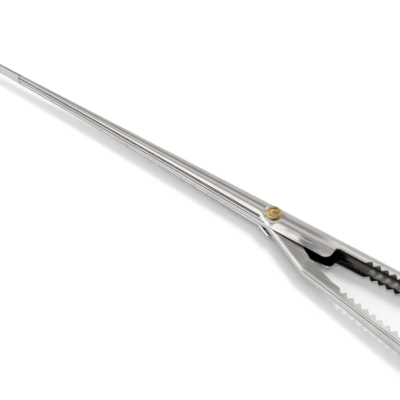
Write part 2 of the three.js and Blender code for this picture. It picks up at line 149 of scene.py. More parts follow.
# ---- meshes -------------------------------------------------------------------
def make_object(
    name: str, points: Array, faces: list, grain: Array, rim: Array, dull: Array | None = None,
) -> bpy.types.Object:
    """Puts arrays into a new mesh object, with its grain map and its masks.

    Args:
        name: The object's name.
        points: Vertex places, in metres.
        faces: Lists of vertex numbers.
        grain: For each vertex, metres along and across the metal's grain.
        rim: For each vertex, 1 on a cut edge and 0 away from it, where the finish paints a highlight.
        dull: For each vertex, 1 where shade is painted into the colour as a near-black tone and the
            roughness is raised, as on the inner walls of folded sheet.

    Returns:
        The new object, linked to the scene.
    """
    mesh = bpy.data.meshes.new(name)
    mesh.from_pydata(points.tolist(), [], faces)
    mesh.polygons.foreach_set("use_smooth", np.ones(len(mesh.polygons), bool))
    corner = np.empty(len(mesh.loops), np.int32)
    mesh.loops.foreach_get("vertex_index", corner)
    layer = mesh.uv_layers.new(name="grain")
    layer.data.foreach_set("uv", grain[corner].astype(np.float32).ravel())
    for key, values in (("rim", rim), ("dull", np.zeros(len(points)) if dull is None else dull)):
        mask = mesh.attributes.new(key, "FLOAT", "POINT")
        mask.data.foreach_set("value", values.astype(np.float32))
    mesh.update()
    mesh.set_sharp_from_angle(angle=math.radians(42.0))
    made = bpy.data.objects.new(name, mesh)
    bpy.context.scene.collection.objects.link(made)
    return made


def strip_faces(rows: int, columns: int, closed_rows: bool, closed_columns: bool) -> Array:
    """Quads of a grid: each joins a point, its next column, the next row's two points.

    Args:
        rows: Number of rows.
        columns: Number of columns.
        closed_rows: Whether the last row meets the first.
        closed_columns: Whether the last column meets the first.

    Returns:
        Rows of four vertex numbers.
    """
    row = np.arange(rows if closed_rows else rows - 1)[:, None]
    column = np.arange(columns if closed_columns else columns - 1)[None, :]
    next_row = (row + 1) % rows
    next_column = (column + 1) % columns
    quads = [row * columns + column, row * columns + next_column,
             next_row * columns + next_column, next_row * columns + column]
    return np.stack([np.broadcast_to(q, (len(row), column.size)) for q in quads], -1).reshape(-1, 4)


@dataclass
class Sheet:
    """The upper half of a folded sheet, as grids over (station, place on the section).

    The lower half is its mirror image, and both meet at the section's last point.
    """

    outside: Array  # stations x places x 3
    inside: Array
    across: Array  # metres round the section from its cut edge

    def mesh(self, name: str, edge_round: float) -> bpy.types.Object:
        """Closes the sheet with rounded rims and end faces.

        A rim point is the middle of the wall, plus its share s of half the wall,
        plus outwards the rounding times the cube root of 1 - |s|^3.

        Args:
            name: The object's name.
            edge_round: How far the rim bulges past the sheet's last points.

        Returns:
            The closed object.
        """
        places = self.outside.shape[1]
        middle = (self.outside[:, 0] + self.inside[:, 0]) / 2
        half = (self.outside[:, 0] - self.inside[:, 0]) / 2
        outwards = np.stack([np.zeros(len(half)), -half[:, 2], half[:, 1]], axis=1)
        outwards /= np.linalg.norm(outwards, axis=1)[:, None]
        share = np.array([-0.85, -0.45, 0.45, 0.85])
        bulge = edge_round * np.cbrt(1 - np.abs(share) ** 3)
        rim = middle[:, None] + half[:, None] * share[None, :, None]
        rim = rim + outwards[:, None] * bulge[None, :, None]
        mirror = np.array([1.0, 1.0, -1.0])
        ring = np.concatenate([
            self.outside, self.outside[:, -2::-1] * mirror, rim[:, ::-1] * mirror,
            self.inside * mirror, self.inside[:, -2::-1], rim,
        ], axis=1)
        turn = len(share)
        whole = 2 * places - 1
        along = np.broadcast_to(ring[:, :, 0], ring.shape[:2])
        zero = np.zeros((len(ring), turn))
        across = np.concatenate([
            self.across, self.across[:, -2::-1], zero, self.across, self.across[:, -2::-1], zero,
        ], axis=1)
        # Painted highlight mask: 1 at the cut edge, fading out within a fraction of a millimetre.
        near = np.exp(-across / (0.22 * MM))
        inner_wall = np.arange(ring.shape[1]) >= whole + turn
        # Painted shade mask: the inner wall from 1 mm past the cut edge inwards, where the inside of the
        # folded sheet lies in shade. The same mask also raises the roughness.
        dull = smooth(across, 1.0 * MM, 5.0 * MM) * inner_wall
        grain = np.stack([along, across], axis=-1)
        stations, count = ring.shape[:2]
        faces = strip_faces(stations, count, False, True)[:, ::-1].tolist()
        for first, reverse in ((0, False), ((stations - 1) * count, True)):
            outer = first + np.arange(whole)
            inner = first + whole + turn + np.arange(whole)[::-1]
            cap = np.stack([outer[:-1], outer[1:], inner[1:], inner[:-1]], axis=1).tolist()
            cap.append([int(first + whole - 1 + i) for i in range(turn + 2)])
            cap.append([int(first + (2 * whole + turn - 1 + i) % count) for i in range(turn + 2)])
            faces += [face[::-1] for face in cap] if reverse else cap
        flat = grain.reshape(-1, 2)
        return make_object(name, ring.reshape(-1, 3), faces, flat, near.ravel(), dull.ravel())


def lathe(name: str, profile: Array, height: float, segments: int = 96) -> bpy.types.Object:
    """Turns a profile about the hinge axis: (r cos a, r sin a, z) for even angles a.

    Args:
        name: The object's name.
        profile: Rows of (radius, z), closed on itself if no radius is 0.
        height: Added to every z.
        segments: Steps round the axis.

    Returns:
        The closed object.
    """
    solid = profile[:, 0].min() < 1e-9
    rows = profile[1:-1] if solid else profile
    angle = np.linspace(0.0, 2.0 * np.pi, segments, endpoint=False)
    radius = rows[:, 0][:, None]
    grid = np.stack([radius * np.cos(angle), radius * np.sin(angle),
                     np.broadcast_to(rows[:, 1][:, None] + height, (len(rows), segments))], -1)
    points = grid.reshape(-1, 3)
    faces = strip_faces(len(rows), segments, not solid, True).tolist()
    grain = np.stack([np.broadcast_to(angle * 3 * MM, grid.shape[:2]),
                      np.broadcast_to(radius, grid.shape[:2])], -1).reshape(-1, 2)
    if solid:
        ends = profile[[0, -1]]
        points = np.vstack([points, np.column_stack([[0, 0], [0, 0], ends[:, 1] + height])])
        grain = np.vstack([grain, np.zeros((2, 2))])
        around = np.arange(segments)
        first, last = len(points) - 2, len(points) - 1
        faces += np.column_stack([np.roll(around, -1), around, np.full(segments, first)]).tolist()
        top = around + (len(rows) - 1) * segments
        faces += np.column_stack([top, np.roll(top, -1), np.full(segments, last)]).tolist()
    return make_object(name, points, faces, grain, np.zeros(len(points)))


def sweep(name: str, path: Array, radius: float, sides: int = 16) -> bpy.types.Object:
    """Carries a circle along a path: the path plus radius times (cos b side + sin b up).

    Side is level and square to the path, and up is square to both. The ends close
    on a dome of three shrinking circles.

    Args:
        name: The object's name.
        path: Rows of (x, y, z).
        radius: The wire's radius.
        sides: Steps round the wire.

    Returns:
        The closed object.
    """
    dome = np.array([0.05, 0.45, 0.8])
    way = np.gradient(path, axis=0)
    way /= np.linalg.norm(way, axis=1)[:, None]
    sink = radius * 0.6 * np.sqrt(1 - dome ** 2)[:, None]
    path = np.vstack([path[0] - way[0] * sink, path, (path[-1] + way[-1] * sink)[::-1]])
    way = np.vstack([np.repeat(way[:1], 3, 0), way, np.repeat(way[-1:], 3, 0)])
    scale = np.concatenate([dome, np.ones(len(path) - 6), dome[::-1]]) * radius
    side = np.cross(way, [0.0, 0.0, 1.0])
    side /= np.linalg.norm(side, axis=1)[:, None]
    up = np.cross(side, way)
    angle = np.linspace(0, 2 * np.pi, sides, endpoint=False)
    circle = side[:, None] * np.cos(angle)[None, :, None] + up[:, None] * np.sin(angle)[None, :, None]
    grid = path[:, None] + circle * scale[:, None, None]
    length = np.concatenate([[0], np.cumsum(np.linalg.norm(np.diff(path, axis=0), axis=1))])
    grain = np.stack([np.broadcast_to(length[:, None], grid.shape[:2]),
                      np.broadcast_to(angle * radius, grid.shape[:2])], -1)
    faces = strip_faces(len(path), sides, False, True).tolist()
    faces.append(list(range(sides))[::-1])
    faces.append([(len(path) - 1) * sides + i for i in range(sides)])
    return make_object(name, grid.reshape(-1, 3), faces, grain.reshape(-1, 2), np.zeros(grid[..., 0].size))


# ---- the shapes that both arms share --------------------------------------------
@dataclass(frozen=True)
class Taper:
    """A size that grows from the nose's tip to the hinge."""

    tip: float
    pivot: float


@dataclass
class NoseShape:
    """The outline of the long nose, which both arms take their sizes from."""

    low: Array = field(default_factory=lambda: np.array(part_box("outer_arm")[0]))
    high: Array = field(default_factory=lambda: np.array(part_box("outer_arm")[1]))
    wall: float = 0.8 * MM
    gap: float = 0.3 * MM
    flare: float = 1.4
    crown: Taper = Taper(4.0 * MM, 10.6 * MM)
    depth: Taper = Taper(2.8 * MM, 10.5 * MM)
    lips: Taper = Taper(3.4 * MM, 5.8 * MM)
    slope: Taper = Taper(0.5 * MM, 4.0 * MM)
    ear_depth: float = 13.1 * MM
    ear_slope: float = 6.4 * MM
    ear_start: float = -6.0 * MM
    ear_full: float = 3.2 * MM
    jaw_length: float = 28.0 * MM
    jaw_tooth_pitch: float = 1.6 * MM
    jaw_tooth_height: float = 0.5 * MM
    jaw_teeth: int = 11
    tip_rounding: float = 2.2 * MM

    @property
    def tip(self) -> float:
        """X of the nose's tip."""
        return float(self.low[0])

    @property
    def far_side(self) -> float:
        """Y of the outer arm's back."""
        return float(self.high[1])

    @property
    def middle(self) -> float:
        """Z of the plane midway between the upper and the lower crown."""
        return float(self.low[2] + self.high[2]) / 2

    @property
    def jaw_root(self) -> float:
        """X where the solid jaws end and the folded sheet begins."""
        return self.tip + self.jaw_length

    def sized(self, size: Taper, x: Array) -> Array:
        """The size at X: tip plus the difference times the covered share to the flare."""
        share = np.clip((x - self.tip) / -self.tip, 0.0, 1.0) ** self.flare
        return size.tip + (size.pivot - size.tip) * share

    def ears(self, x: Array) -> Array:
        """How far the lips have grown into ears at X, from 0 to 1."""
        return smooth(x, self.ear_start, self.ear_full)

    def half(self, x: Array) -> Array:
        """Half the tube's height at X."""
        return self.sized(self.crown, x) / 2

    def lip(self, x: Array, ears: bool = True) -> Array:
        """Y of the lips: the far side less the tapering depth.

        Args:
            x: Where to evaluate.
            ears: Whether the lips grow into ears.

        Returns:
            Y at each X.
        """
        depth = self.sized(self.depth, x)
        if ears:
            depth = depth + (self.ear_depth - depth) * self.ears(x)
        return self.far_side - depth

    def slope_depth(self, x: Array) -> Array:
        """Y covered between the lip and the crown at X."""
        slope = self.sized(self.slope, x)
        return slope + (self.ear_slope - slope) * self.ears(x)

    def split(self, x: Array) -> Array:
        """Y of the line on which the jaws meet: midway between lip and back."""
        return (self.lip(x) + self.far_side) / 2

    def share(self, x: Array, y: Array) -> Array:
        """How far down the slope Y lies: 0 on the crown and 1 at the lip."""
        return np.clip((self.lip(x) + self.slope_depth(x) - y) / self.slope_depth(x), 0.0, 1.0)

    def top(self, x: Array, y: Array) -> Array:
        """Height over the middle plane: half the crown less the drop times share squared."""
        drop = self.half(x) - self.sized(self.lips, x) / 2
        return self.half(x) - drop * self.share(x, y) ** 2

    def tilt(self, x: Array, y: Array) -> Array:
        """Angle of the slope in radians: the arctangent of the height's slope in Y."""
        drop = self.half(x) - self.sized(self.lips, x) / 2
        return np.arctan(2 * drop * self.share(x, y) / self.slope_depth(x))

    def jaw_edge(self, shift: float, count: int) -> Array:
        """The toothed line on which a jaw ends, from the tip to the jaws' root.

        Args:
            shift: How far the line lies beyond the line where the jaws meet.
            count: How many points.

        Returns:
            Rows of (x, y).
        """
        x = self.tip + self.jaw_length * np.linspace(0.0005, 1.0, count)
        start = self.tip + self.tip_rounding
        end = start + self.jaw_teeth * self.jaw_tooth_pitch
        wave = teeth(x, start, self.jaw_tooth_pitch) * self.jaw_tooth_height
        return np.stack([x, self.split(x) + shift + np.where((x > start) & (x < end), wave, 0.0)], 1)

    def shrink(self, x: Array) -> Array:
        """Scale of the section near the rounded tip: a quarter circle in the way covered."""
        way = np.clip((x - self.tip) / self.tip_rounding, 0.0, 1.0)
        return np.sqrt(1.0 - (1.0 - way) ** 2)

    def rounded(self, grid: Array) -> Array:
        """Draws a grid in towards the middle of the section near the tip.

        Args:
            grid: Points, with Z measured from the middle plane.

        Returns:
            The points with Y and Z scaled about the middle by the shrink at their X.
        """
        scale = self.shrink(grid[..., 0])
        centre = self.split(grid[..., 0])
        drawn = grid.copy()
        drawn[..., 1] = centre + (grid[..., 1] - centre) * scale
        drawn[..., 2] = grid[..., 2] * scale
        return drawn


def bowed(grid: Array, end: float, radius: float, start: float) -> Array:
    """Bows the end of an arm, as seen from the side.

    Beyond start, X is scaled about start so that the end reaches the circle of that
    radius: X = end - radius + the square root of radius^2 - Z^2.

    Args:
        grid: Points, with Z measured from the middle plane.
        end: X of the arm's end in its middle plane.
        radius: Radius of the bow.
        start: X where the bowing begins.

    Returns:
        The bowed points.
    """
    reach = end - radius + np.sqrt(radius ** 2 - np.clip(np.abs(grid[..., 2]), 0, 0.97 * radius) ** 2)
    beyond = grid[..., 0] - start
    bent = grid.copy()
    bent[..., 0] = np.where(beyond > 0, start + beyond * (reach - start) / (end - start), grid[..., 0])
    return bent


# ---- what both arms share --------------------------------------------------------
@dataclass
class Arm:
    """An arm of folded sheet: its handle's teeth and end, and how it is closed.

    Each arm gives its own outline, surface and jaw.
    """

    nose: NoseShape
    name: str = ""
    pitch: float = 3.7 * MM
    tooth: float = 1.8 * MM
    teeth_start: float = 0.0
    teeth_count: int = 14
    tooth_stations: int = 14
    end_corner: float = 5.0 * MM
    end_radius: float = 5.0 * MM
    rim: float = 0.16 * MM
    jaw_stations: int = 150
    jaw_bevel: float = 0.06 * MM

    @property
    def end(self) -> float:
        """X of the handle's end."""
        return float(self.nose.high[0])

    def toothed_x(self, start: float) -> Array:
        """X along the toothed edge, from start to the last tooth's root."""
        stop = self.teeth_start + self.teeth_count * self.pitch
        return np.linspace(start, stop, self.teeth_count * self.tooth_stations)

    def cutback(self, x: Array) -> Array:
        """How far the toothed edge lies back from the line through its tips."""
        return self.tooth * (1 - teeth(x, self.teeth_start, self.pitch))

    def joined(self, jaw: Array, sheet: Array) -> Array:
        """Sets the sheet's stations behind the jaw's, and bows the handle's end."""
        bow_start = self.end - 3 * self.end_corner
        return bowed(np.concatenate([jaw, sheet]), self.end, self.end_radius, bow_start)

    def build(self) -> bpy.types.Object:
        """Joins jaw and sheet into the closed arm.

        Returns:
            The arm, in place.
        """
        edge, base = self.outline()
        outside, across = self.surface(edge, base, 0.0)
        inside, _ = self.surface(edge, base, self.nose.wall)
        jaw_out, jaw_in, jaw_across = self.jaw(outside.shape[1])
        sheet = Sheet(
            self.joined(jaw_out, outside), self.joined(jaw_in, inside),
            np.concatenate([jaw_across, across]),
        )
        return raised(sheet.mesh(self.name, self.rim), self.nose.middle)


# ---- outer arm ----------------------------------------------------------------
@dataclass
class OuterArm(Arm):
    """The tapering tube with its mouth, ears, notch and toothed handle."""

    name: str = "outer_arm_folded"
    teeth_start: float = 46.5 * MM
    end_radius: float = 6.5 * MM
    ear_end: float = 31.4 * MM
    ear_corner: float = 3.4 * MM
    ear_swell: float = 0.08 * MM
    notch: float = 1.3 * MM
    notch_run: float = 2.0 * MM
    edge: float = 0.0
    seat_radius: float = 3.55 * MM
    seat_sink: float = 0.25 * MM
    seat_fade: Range = (0.97, 1.22)  # shares of the seat's radius
    top_places: int = 30
    back_places: int = 7
    knee: float = 0.55  # share of the back's quarter circle at which the places thin out
    knee_pull: float = 1.6  # how much sooner a station has come to its base X
    least_back: float = 0.12  # least arc left behind the knee, in half heights

    def outline(self) -> tuple[Array, Array]:
        """The cut edge of the folded sheet behind the jaws, and each station's base X.

        Returns:
            Rows of (x, y) along the lips, ears, notch, teeth and end, and the base X.
        """
        nose = self.nose
        x = np.linspace(nose.jaw_root, nose.ear_start, 60)
        lips = np.stack([x, nose.lip(x)], 1)
        corner_x = self.ear_end - self.ear_corner
        x = np.linspace(nose.ear_start, corner_x, 40)
        ear = np.stack([x, nose.lip(x)], 1)
        ear_y = nose.far_side - nose.ear_depth + self.ear_corner
        corner = arc(corner_x, ear_y, self.ear_corner, -90, 0, 14)
        notch_x = self.ear_end + self.notch
        notch = arc(notch_x, self.edge - self.notch, self.notch, 180, 90, 8)
        ear_cut = np.vstack([corner, notch, [[notch_x + self.notch_run, self.edge]]])
        x = np.linspace(notch_x + self.notch_run, self.teeth_start - self.pitch / 2, 8)
        straight = np.stack([x, np.full(len(x), self.edge)], 1)
        x = self.toothed_x(x[-1])
        toothed = np.stack([x, self.edge + self.cutback(x)], 1)
        closing = arc(self.end - self.end_corner, self.edge + self.end_corner, self.end_corner, -90, 0, 14)
        closing = np.vstack([toothed[-1:], closing])
        return joined_stretches([lips, ear, ear_cut, straight, toothed, closing])

    def surface(self, edge: Array, base: Array, inset: float) -> tuple[Array, Array]:
        """The sheet's upper half, set in from its outside along the surface's normal.

        A place w on the section is Y up to the start of the back; beyond it, w less
        that start is the arc length on the back's quarter circle. W runs from the cut
        edge to the back in even steps, and X from the edge's X to the base X.

        Args:
            edge: Rows of (x, y) of the cut edge.
            base: X of each station at the back.
            inset: Distance inside the outer surface.

        Returns:
            The grid of points and the distance of each from the cut edge.
        """
        nose = self.nose
        x0, y0 = edge[:, 0][:, None], edge[:, 1][:, None]
        half0 = nose.half(base)[:, None]
        centre0 = nose.far_side - half0
        lean = np.arcsin(np.clip((y0 - centre0) / half0, 0.0, 1.0))
        start = np.where(y0 > centre0, centre0 + half0 * lean, y0) + self.rim
        end = centre0 + half0 * math.pi / 2
        knee = centre0 + self.knee * math.pi / 2 * half0 * self.knee_pull
        knee = np.minimum(knee, end - self.least_back * half0)
        first = np.linspace(0, 1, self.top_places)[None, :]
        second = np.linspace(0, 1, self.back_places)[None, 1:]
        w = np.concatenate([start + (knee - start) * first, knee + (end - knee) * second], axis=1)
        pull = np.concatenate([first, np.ones_like(second)], axis=1)
        x = x0 + (base[:, None] - x0) * np.clip(self.knee_pull * pull, 0, 1)
        half = nose.half(x)
        centre = nose.far_side - half
        turn = np.clip((w - centre0) / half0, 0.0, math.pi / 2)
        flat = w < centre0
        y = np.minimum(w, centre)
        tilt = nose.tilt(x, y)
        on_ear = nose.share(x, y) * nose.ears(x) * (x < self.ear_end)
        along_ear = np.clip((x - nose.ear_full) / (self.ear_end - nose.ear_full), 0, 1)
        height = nose.top(x, y) + self.ear_swell * on_ear * np.sin(np.pi * along_ear) ** 2
        radius = half - inset
        on_back = np.stack([x, centre + radius * np.sin(turn), radius * np.cos(turn)], -1)
        on_top = np.stack([x, y + inset * np.sin(tilt), height - inset * np.cos(tilt)], -1)
        return self.seat(np.where(flat[..., None], on_top, on_back)), w - start

    def seat(self, grid: Array) -> Array:
        """Presses the seat for the rivet into both layers of the sheet.

        Within the seat's radius the height drops by the sink, and the drop fades out
        by a smooth step over the next quarter of the radius.

        Args:
            grid: Points of the sheet's upper half.

        Returns:
            The pressed points.
        """
        distance = np.hypot(grid[..., 0], grid[..., 1])
        begins, ends = (share * self.seat_radius for share in self.seat_fade)
        rise = smooth(distance, begins, ends)
        pressed = grid.copy()
        pressed[..., 2] -= self.seat_sink * (1 - rise)
        return pressed

    def jaw(self, places: int) -> tuple[Array, Array, Array]:
        """The solid jaw: outside on the nose's outline, inside on the parting plane.

        Args:
            places: Points on the half section, as many as the sheet has.

        Returns:
            The outside and inside grids and the distance from the cut edge.
        """
        nose = self.nose
        edge = nose.jaw_edge(nose.gap / 2, self.jaw_stations)
        x = np.broadcast_to(edge[:, 0][:, None], (len(edge), places))
        q = np.linspace(0, 1, places)[None, :]
        half = nose.half(x)
        centre = nose.far_side - half
        y0 = edge[:, 1][:, None] + self.jaw_bevel
        lean = np.arcsin(np.clip((y0 - centre) / half, 0.0, 1.0))
        start = np.where(y0 > centre, centre + half * lean, y0)
        w = start + (centre + half * math.pi / 2 - start) * q
        turn = np.clip((w - centre) / half, 0.0, math.pi / 2)
        y = np.minimum(w, centre) + half * np.sin(turn)
        z = np.where(w < centre, nose.top(x, np.minimum(w, centre)), half * np.cos(turn))
        outside = np.stack([x, y, z], -1)
        flat_y = np.broadcast_to(edge[:, 1][:, None], x.shape)
        inside = np.stack([x, flat_y, (z[:, :1] - 1.5 * self.jaw_bevel) * (1 - q)], -1)
        return nose.rounded(outside), nose.rounded(inside), w - start


# ---- inner arm ----------------------------------------------------------------
@dataclass
class InnerArm(Arm):
    """The slim channel that lies in the mouth and opens out as the second handle."""

    name: str = "inner_arm_folded"
    teeth_start: float = 44.5 * MM
    bend_out: tuple[float, float, float] = (-1.5 * MM, -4.0 * MM, 25.4)  # x, y, degrees
    bend_back: tuple[float, float] = (25.3 * MM, 11.0)  # x, degrees
    bend_softness: float = 0.5 * MM
    end_height: float = 7.8 * MM
    fold: float = 1.3 * MM
    lobe: float = 4.6 * MM
    web_corner: tuple[float, float] = (25.0 * MM, 6.9 * MM)  # x, depth from the fold
    web_end: tuple[float, float] = (38.5 * MM, 4.6 * MM)
    flange: float = 4.6 * MM
    flange_places: int = 14
    fold_places: int = 9
    joint_overlap: float = 0.001 * MM
    least_fold: float = 0.2 * MM
    web_places: int = 6

    def face(self, x: Array) -> Array:
        """Y of the arm's outside face: level with the lips, then bent twice.

        Each bend adds its change of slope times the softened distance past the bend,
        which is the mean of the distance and the root of its square plus softness^2.

        Args:
            x: Where to evaluate.

        Returns:
            Y of the face at each X.
        """
        def past(at: float) -> Array:
            """The softened distance past X = at."""
            return ((x - at) + np.sqrt((x - at) ** 2 + self.bend_softness ** 2)) / 2

        out_x, out_y, out_degrees = self.bend_out
        back_x, back_degrees = self.bend_back
        slope_out = math.tan(math.radians(out_degrees))
        slope_back = math.tan(math.radians(back_degrees))
        before = np.minimum(x, out_x)
        level = self.nose.lip(before, False) - self.nose.lip(np.array(out_x), False)
        return out_y + level - slope_out * past(out_x) + (slope_out - slope_back) * past(back_x)

    def half(self, x: Array) -> Array:
        """Half the channel's height: what the mouth leaves free, then growing evenly.

        Args:
            x: Where to evaluate.

        Returns:
            Half the height at each X.
        """
        nose = self.nose
        inside = np.minimum(x, nose.ear_start)
        steep = nose.tilt(inside, nose.lip(inside))
        mouth = nose.sized(nose.lips, inside) / 2 - nose.wall * np.cos(steep) - nose.gap
        growth = np.clip((x - self.bend_back[0]) / (self.end - self.bend_back[0]), 0, 1)
        return mouth + (self.end_height / 2 - mouth) * growth

    def outline(self) -> tuple[Array, Array]:
        """The cut edge of both flanges behind the jaws, and each station's base X.

        Returns:
            Rows of (x, y) along the nose, lobe, web, teeth and end, and the base X.
        """
        nose = self.nose
        x = np.linspace(nose.jaw_root - nose.gap + self.joint_overlap, -self.lobe * 1.02, 60)
        shaft = np.stack([x, nose.split(x) - nose.gap / 2], 1)
        corner, tail = (np.array([at, float(self.face(np.array(at))) + depth])
                        for at, depth in (self.web_corner, self.web_end))
        away = math.atan2(corner[1], corner[0])
        tangent = math.degrees(away + math.acos(self.lobe / np.hypot(*corner)))
        begin = 180 - math.degrees(math.asin(shaft[-1, 1] / self.lobe))
        lobe = arc(0, 0, self.lobe, begin, tangent, 30)
        web_line = lobe[-1] + (corner - lobe[-1]) * np.linspace(0, 1, 20)[1:, None]
        lobe_web = np.vstack([shaft[-1:], lobe, web_line])
        web = corner + (tail - corner) * np.linspace(0, 1, 14)[:, None]
        x = np.linspace(tail[0], self.teeth_start - self.pitch / 2, 4)
        straight = np.stack([x, self.face(x) + self.flange], 1)
        x = self.toothed_x(x[-1])
        toothed = np.stack([x, self.face(x) + self.flange - self.cutback(x)], 1)
        last = self.end - self.end_corner
        level = float(self.face(np.array(last))) + self.flange - self.end_corner
        closing = np.vstack([toothed[-1:], arc(last, level, self.end_corner, 90, 8, 12)])
        edge, base = joined_stretches([shaft, lobe_web, web, straight, toothed, closing])
        base = base[0] + (base - base[0]) * (self.end - base[0]) / (base[-1] - base[0])
        return edge, base

    def surface(self, edge: Array, base: Array, inset: float) -> tuple[Array, Array]:
        """The channel's upper half: flange, quarter-circle fold, then half the web.

        Args:
            edge: Rows of (x, y) of the cut edge.
            base: X of each station at the fold.
            inset: Distance inside the outer surface.

        Returns:
            The grid of points and the distance of each from the cut edge.
        """
        x1 = base[:, None]
        face = self.face(x1)
        slope = (self.face(x1 + self.bend_softness) - self.face(x1 - self.bend_softness))
        lean = np.cos(np.arctan(slope / (2 * self.bend_softness)))
        half = self.half(x1)
        outer = np.minimum(self.fold, half)
        radius = np.maximum(outer - inset, self.least_fold)
        fold_y = face + outer
        start = np.stack([edge[:, 0], edge[:, 1] - self.rim], 1)
        q = np.linspace(0, 1, self.flange_places)[None, :]
        x = start[:, :1] + (x1 - start[:, :1]) * q
        y = start[:, 1:] + (fold_y - start[:, 1:]) * q
        flange = np.stack([x, y, self.half(x) - inset], -1)
        angle = np.linspace(0, math.pi / 2, self.fold_places)[None, 1:]
        inner_face = face + inset / lean
        top = half - inset
        shape = (len(base), self.fold_places - 1)
        bend = np.stack([
            np.broadcast_to(x1, shape), inner_face + radius * (1 - np.sin(angle)),
            top - radius * (1 - np.cos(angle)),
        ], -1)
        drop = np.linspace(1, 0, self.web_places)[None, 1:]
        web = np.stack([
            np.broadcast_to(x1, (len(base), drop.size)),
            np.broadcast_to(inner_face, (len(base), drop.size)), (top - radius) * drop,
        ], -1)
        grid = np.concatenate([flange, bend, web], axis=1)
        step = np.linalg.norm(np.diff(grid, axis=1), axis=2)
        return grid, np.concatenate([np.zeros((len(grid), 1)), np.cumsum(step, axis=1)], axis=1)

    def jaw(self, places: int) -> tuple[Array, Array, Array]:
        """The solid jaw: outside on the nose's outline, inside on the parting plane.

        Args:
            places: Points on the half section, as many as the sheet has.

        Returns:
            The outside and inside grids and the distance from the cut edge.
        """
        nose = self.nose
        edge = nose.jaw_edge(-nose.gap / 2, self.jaw_stations)
        edge[:, 0] -= nose.gap * np.linspace(0, 1, self.jaw_stations)
        front = self.web_places
        q = np.linspace(0, 1, places - front)[None, :]
        x = edge[:, :1]
        start = edge[:, 1:] - self.jaw_bevel
        y = start + (nose.lip(x) - start) * q
        slope = np.stack([np.broadcast_to(x, y.shape), y, nose.top(x, y)], -1)
        drop = np.linspace(1, 0, front + 1)[None, 1:]
        lip_half = nose.sized(nose.lips, x) / 2
        shape = (len(x), front)
        lip = np.stack([
            np.broadcast_to(x, shape), np.broadcast_to(nose.lip(x), shape), lip_half * drop,
        ], -1)
        outside = np.concatenate([slope, lip], axis=1)
        fall = np.linspace(1, 0, places)[None, :]
        inside = np.stack([
            np.broadcast_to(x, (len(x), places)), np.broadcast_to(edge[:, 1:], (len(x), places)),
            (outside[:, :1, 2] - 1.5 * self.jaw_bevel) * fall,
        ], -1)
        step = np.linalg.norm(np.diff(outside, axis=1), axis=2)
        across = np.concatenate([np.zeros((len(x), 1)), np.cumsum(step, axis=1)], axis=1)
        return nose.rounded(outside), nose.rounded(inside), across


def raised(made: bpy.types.Object, height: float) -> bpy.types.Object:
    """Lifts a mesh's own points and turns all its faces outwards.

    Args:
        made: The object, which stays at the origin.
        height: How far to lift.

    Returns:
        The same object.
    """
    work = bmesh.new()
    work.from_mesh(made.data)
    bmesh.ops.translate(work, verts=work.verts, vec=(0.0, 0.0, height))
    bmesh.ops.recalc_face_normals(work, faces=work.faces)
    work.to_mesh(made.data)
    work.free()
    return made


# ---- the pivot ----------------------------------------------------------------
@dataclass
class Pivot:
    """The brass rivet and the steel sleeve and bushes that it carries."""

    nose: NoseShape
    shank: float = 1.3 * MM
    head_edge: float = 0.35 * MM
    rim_width: float = 1.3 * MM
    dish_depth: float = 0.8 * MM
    bowl: float = 0.12 * MM
    fillet: float = 0.2 * MM
    tail: float = 2.3 * MM
    lip: float = 0.1 * MM
    under_head: float = 0.03 * MM
    ring_edge: float = 0.08 * MM
    bush_wall: float = 0.4 * MM
    bush_shoulder: float = 0.35

    def rivet(self) -> bpy.types.Object:
        """Lathes the dished head, the shank and the clinched tail in one.

        The rolled rim swings in by half its width times 1 less the cosine of an
        angle, and falls from the top by its depth times 1 less the sine; inside it
        the dish is a shallow bowl, its depth falling with the square of the radius.

        Returns:
            The rivet.
        """
        low, high = (np.array(corner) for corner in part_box("pivot_rivet"))
        head = float(high[0])
        top = float(high[2])
        nose = self.nose
        under = float(nose.high[2]) - OuterArm.seat_sink + self.under_head
        above = float(nose.low[2]) + OuterArm.seat_sink - nose.gap
        angle = np.radians(np.linspace(0, 180, 49))
        fall = np.where(angle < math.pi / 2, top - under - self.head_edge, self.dish_depth)
        rim = np.stack([
            head - self.rim_width / 2 * (1 - np.cos(angle)), top - fall * (1 - np.sin(angle)),
        ], 1)
        inner = rim[-1, 0] * np.linspace(1, 0, 10)[1:]
        sag = self.bowl * (1 - (inner / rim[-1, 0]) ** 2)
        dish = np.stack([inner, rim[-1, 1] - sag], 1)
        tail = self.tail
        bottom = arc(tail - self.fillet, float(low[2]) + self.fillet, self.fillet, -90, 0, 6)
        lip = arc(head - self.lip, under + self.lip, self.lip, -90, 0, 5)
        profile = np.vstack([
            [[0, low[2]]], [[tail * 0.5, low[2]]], bottom, [[tail, above]], [[self.shank, above]],
            [[self.shank, under]], [[head * 0.6, under]], lip, rim, dish,
        ])
        return lathe("pivot_rivet_turned", profile, 0.0)

    def ring(self, name: str, node: str, cone: float) -> bpy.types.Object:
        """Lathes a sleeve or a bush from its CAD node's box.

        Args:
            name: The new piece's name.
            node: The CAD node that it stands for.
            cone: 0 for a straight sleeve, 1 or -1 for a bush that narrows up or down.

        Returns:
            The turned ring.
        """
        low, high = (np.array(corner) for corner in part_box(node))
        bore = self.shank + self.nose.gap
        outer = float(high[0])
        height = float(high[2] - low[2])
        edge = self.ring_edge
        narrow = bore + self.bush_wall if cone else outer
        shoulder = self.bush_shoulder * height if cone else 0.5 * height
        profile = np.array([
            [bore, edge], [bore + edge, 0], [outer - edge, 0], [outer, edge], [outer, shoulder],
            [narrow, height - edge], [narrow - edge, height], [bore + edge, height],
            [bore, height - edge],
        ])
        if cone < 0:
            profile[:, 1] = height - profile[:, 1]
            profile = profile[::-1]
        return lathe(name, profile, float(low[2]), 64)


# ---- return spring --------------------------------------------------------------
@dataclass(frozen=True)
class Leg:
    """One straight leg of the spring with its foot."""

    heading: float
    reach: float
    foot: float
    foot_heading: float


